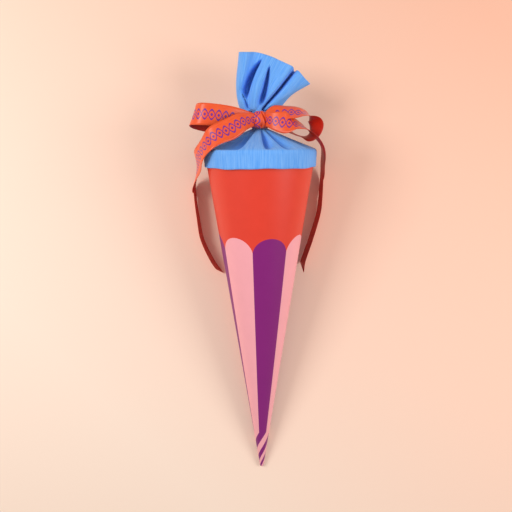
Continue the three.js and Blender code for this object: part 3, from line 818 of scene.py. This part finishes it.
def satin(name, hexes, printed):
    """Polyester satin: a smooth warp face with a soft band of gloss across the length. The face carries
    the print, and the back is duller and deeper, partly its own duller weave and partly painted shade."""
    material, tree, shader = new_material(name)
    uv = add(tree, "ShaderNodeUVMap", {"uv_map": "weave"})
    threads = add(tree, "ShaderNodeMapping", Vector=uv.outputs["UV"], Scale=(60.0, 2200.0, 1.0))
    weave = add(tree, "ShaderNodeTexNoise", {"noise_dimensions": "2D"}, Vector=threads.outputs[0],
                Scale=1.0, Detail=2.0)
    tone = add(tree, "ShaderNodeMapRange", Value=weave.outputs[0], From_Min=0.3, From_Max=0.7)
    cloth = add(tree, "ShaderNodeMix", {"data_type": "RGBA"}, Factor=tone.outputs[0])
    cloth.inputs["A"].default_value = linear(hexes[0])
    cloth.inputs["B"].default_value = linear(hexes[1])
    colour = cloth.outputs["Result"]
    if printed:
        parts = add(tree, "ShaderNodeSeparateXYZ", Vector=uv.outputs["UV"])
        phase = add(tree, "ShaderNodeMath", {"operation": "MULTIPLY"}, in_0=parts.outputs["X"],
                    in_1=2 * math.pi / BRAID_PITCH)
        wave = add(tree, "ShaderNodeMath", {"operation": "SINE"}, in_0=phase.outputs[0])
        crest = add(tree, "ShaderNodeMath", {"operation": "ABSOLUTE"}, in_0=wave.outputs[0])
        reach = add(tree, "ShaderNodeMath", {"operation": "MULTIPLY"}, in_0=crest.outputs[0],
                    in_1=BRAID_REACH)
        from_middle = add(tree, "ShaderNodeMath", {"operation": "ABSOLUTE"}, in_0=parts.outputs["Y"])
        offset = add(tree, "ShaderNodeMath", {"operation": "SUBTRACT"}, in_0=from_middle.outputs[0],
                     in_1=reach.outputs[0])
        apart = add(tree, "ShaderNodeMath", {"operation": "ABSOLUTE"}, in_0=offset.outputs[0])
        on_line = add(tree, "ShaderNodeMath", {"operation": "LESS_THAN"}, in_0=apart.outputs[0],
                      in_1=BRAID_LINE / 2)
        in_eye = add(tree, "ShaderNodeMath", {"operation": "MULTIPLY_ADD"}, in_0=crest.outputs[0],
                     in_1=-EYE_SIZE, in_2=from_middle.outputs[0])
        on_eye = add(tree, "ShaderNodeMath", {"operation": "LESS_THAN"}, in_0=in_eye.outputs[0],
                     in_1=-EYE_START * EYE_SIZE)
        ink = add(tree, "ShaderNodeMath", {"operation": "MAXIMUM"}, in_0=on_line.outputs[0],
                  in_1=on_eye.outputs[0])
        inked = add(tree, "ShaderNodeMix", {"data_type": "RGBA"}, Factor=ink.outputs[0])
        tree.links.new(colour, inked.inputs["A"])
        inked.inputs["B"].default_value = linear("#7d2a8c")
        colour = inked.outputs["Result"]
    tree.links.new(colour, shader.inputs["Base Color"])
    bump = add(tree, "ShaderNodeBump", Height=weave.outputs[0], Strength=0.12, Distance=0.0004)
    tree.links.new(bump.outputs["Normal"], shader.inputs["Normal"])
    shader.inputs["Roughness"].default_value = 0.38 if printed else 0.55
    shader.inputs["Anisotropic"].default_value = 0.5
    shader.inputs["Sheen Weight"].default_value = 0.1 if printed else 0.0
    return material


# Knot and the turn round the neck. Each fold of the knot: angle, lean with the height, half width and
# depth. The pinch below them: angle, height, half width and half height, all in radians, and depth. The
# turn's length is in metres.
KNOT_ACROSS = 39
KNOT_TALL = 33
KNOT_BULGE = 21
KNOT_COLUMNS = 160
KNOT_ROWS = 80
KNOT_FOLDS = [(0.62, -0.34, 0.11, 0.26), (-0.62, 0.2, 0.16, 0.12), (0.1, -0.12, 0.2, 0.06)]
KNOT_PINCH = (0.18, -0.75, 0.15, 0.3, 0.3)
WRAP_COLUMNS = 96
WRAP_ROWS = 21
WRAP_UNDERSIDE = 0.4
WRAP_CREASE = 1.5
WRAP_LENGTH = 0.09


def knot_mesh():
    """The knot: the ribbon's last turn, drawn down over the front. An oval body, wider below, whose radius
    dips at folds: a bell across each fold's line, which leans with the height."""
    turn = np.linspace(-np.pi, np.pi, KNOT_COLUMNS + 1)[:-1]
    rise = np.linspace(-0.5 * np.pi, 0.5 * np.pi, KNOT_ROWS + 2)[1:-1]
    v, u = np.meshgrid(rise, turn, indexing="ij")
    radius = np.ones_like(u)
    for at, lean, half_width, depth in KNOT_FOLDS:
        radius -= depth * np.exp(-((u - at - lean * v) / half_width) ** 2)
    at, low, half_width, half_height, depth = KNOT_PINCH
    radius -= depth * np.exp(-((u - at) / half_width) ** 2 - ((v - low) / half_height) ** 2)
    x = KNOT_ACROSS / 2 * (0.9 - 0.22 * np.sin(v)) * radius * np.abs(np.cos(v)) ** 0.55 * np.sin(u)
    y = KNOT_TALL / 2 * np.sign(np.sin(v)) * np.abs(np.sin(v)) ** 0.9
    z = KNOT_BULGE * radius * np.abs(np.cos(v)) ** 0.6 * np.cos(u)
    points = np.stack([x, TIE_LEVEL + 1 + y, NECK_DEPTH / 2 + z], axis=-1)
    mesh, corner_rows, corner_columns = grid_mesh("knot", lay(points))
    corner_turn = 2 * np.pi * corner_columns / KNOT_COLUMNS - np.pi
    set_uv(mesh, "weave", corner_rows / KNOT_ROWS * 1.3 * KNOT_TALL / 1000,
           0.009 + np.sin(corner_turn) * KNOT_ACROSS / 2000)
    return mesh


def wrap_mesh():
    """The turn round the neck: an oval ring, gathered to the height between dome and flare, so that its
    outer side lies in creases round the neck. The section closes on itself."""
    turn = np.linspace(0, 2 * np.pi, WRAP_COLUMNS + 1)[:-1]
    outer_up = np.linspace(-WRAP_HEIGHT / 2, WRAP_HEIGHT / 2, WRAP_ROWS)
    up = np.concatenate([outer_up, outer_up[[-1, 0, 0]]])[:, None]
    crease = WRAP_CREASE + 0.35 * np.cos(outer_up[:, None] * 1.1 + 0.8 * np.sin(turn + 1)[None, :])
    out = np.concatenate([crease, np.full((2, WRAP_COLUMNS), WRAP_UNDERSIDE), crease[:1]])
    points = np.stack([(NECK_ACROSS / 2 + out) * np.sin(turn), TIE_LEVEL + up + 0 * out,
                       (NECK_DEPTH / 2 + out) * np.cos(turn)], axis=-1)
    mesh, corner_rows, corner_columns = grid_mesh("wrap", lay(points), capped=False)
    set_uv(mesh, "weave", corner_columns / WRAP_COLUMNS * WRAP_LENGTH,
           (corner_rows / len(up) - 0.5) * RIBBON_WIDTH / 1000)
    return mesh


# Runs of the ribbon: name, stations, whether its second face has the print, and slant of its cut end. The
# knot and the turn round the neck take up the length left over, in metres.
RIBBON_RUNS = [
    ("left_loop", LEFT_LOOP, True, 0),
    ("right_loop", RIGHT_LOOP, False, 0),
    ("left_tail", LEFT_TAIL, True, 9),
    ("right_tail", RIGHT_TAIL, False, -9),
]

ribbon_meshes = []
ribbon_length = 0.0
for part_name, part_stations, printed_second, end_slant in RIBBON_RUNS:
    part_mesh, part_length = ribbon_part(part_name, part_stations, ribbon_length, printed_second, end_slant)
    ribbon_meshes.append(part_mesh)
    ribbon_length += part_length
ribbon_meshes += [knot_mesh(), wrap_mesh()]
satin_face = satin("printed_satin", ("#ec4614", "#f5642a"), True)
# Partly painted shade: the back's deeper red is partly the duller back of the weave and partly painted
# shade.
shaded_satin_back = satin("shaded_satin_back", ("#b41a08", "#cc2a10"), False)
ribbon_parts = [add_piece(m.name, m, [satin_face, shaded_satin_back]) for m in ribbon_meshes]
with bpy.context.temp_override(active_object=ribbon_parts[0], selected_editable_objects=ribbon_parts,
                               object=ribbon_parts[0], selected_objects=ribbon_parts):
    bpy.ops.object.join()
ribbon = ribbon_parts[0]
ribbon.name = "satin_ribbon"

# The first and last rows of the turn round the neck lie in one place, and are welded
welded = bmesh.new()
welded.from_mesh(ribbon.data)
bmesh.ops.remove_doubles(welded, verts=welded.verts, dist=1e-6)
welded.to_mesh(ribbon.data)
welded.free()
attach(ribbon, "root")
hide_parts("ribbon_bow")
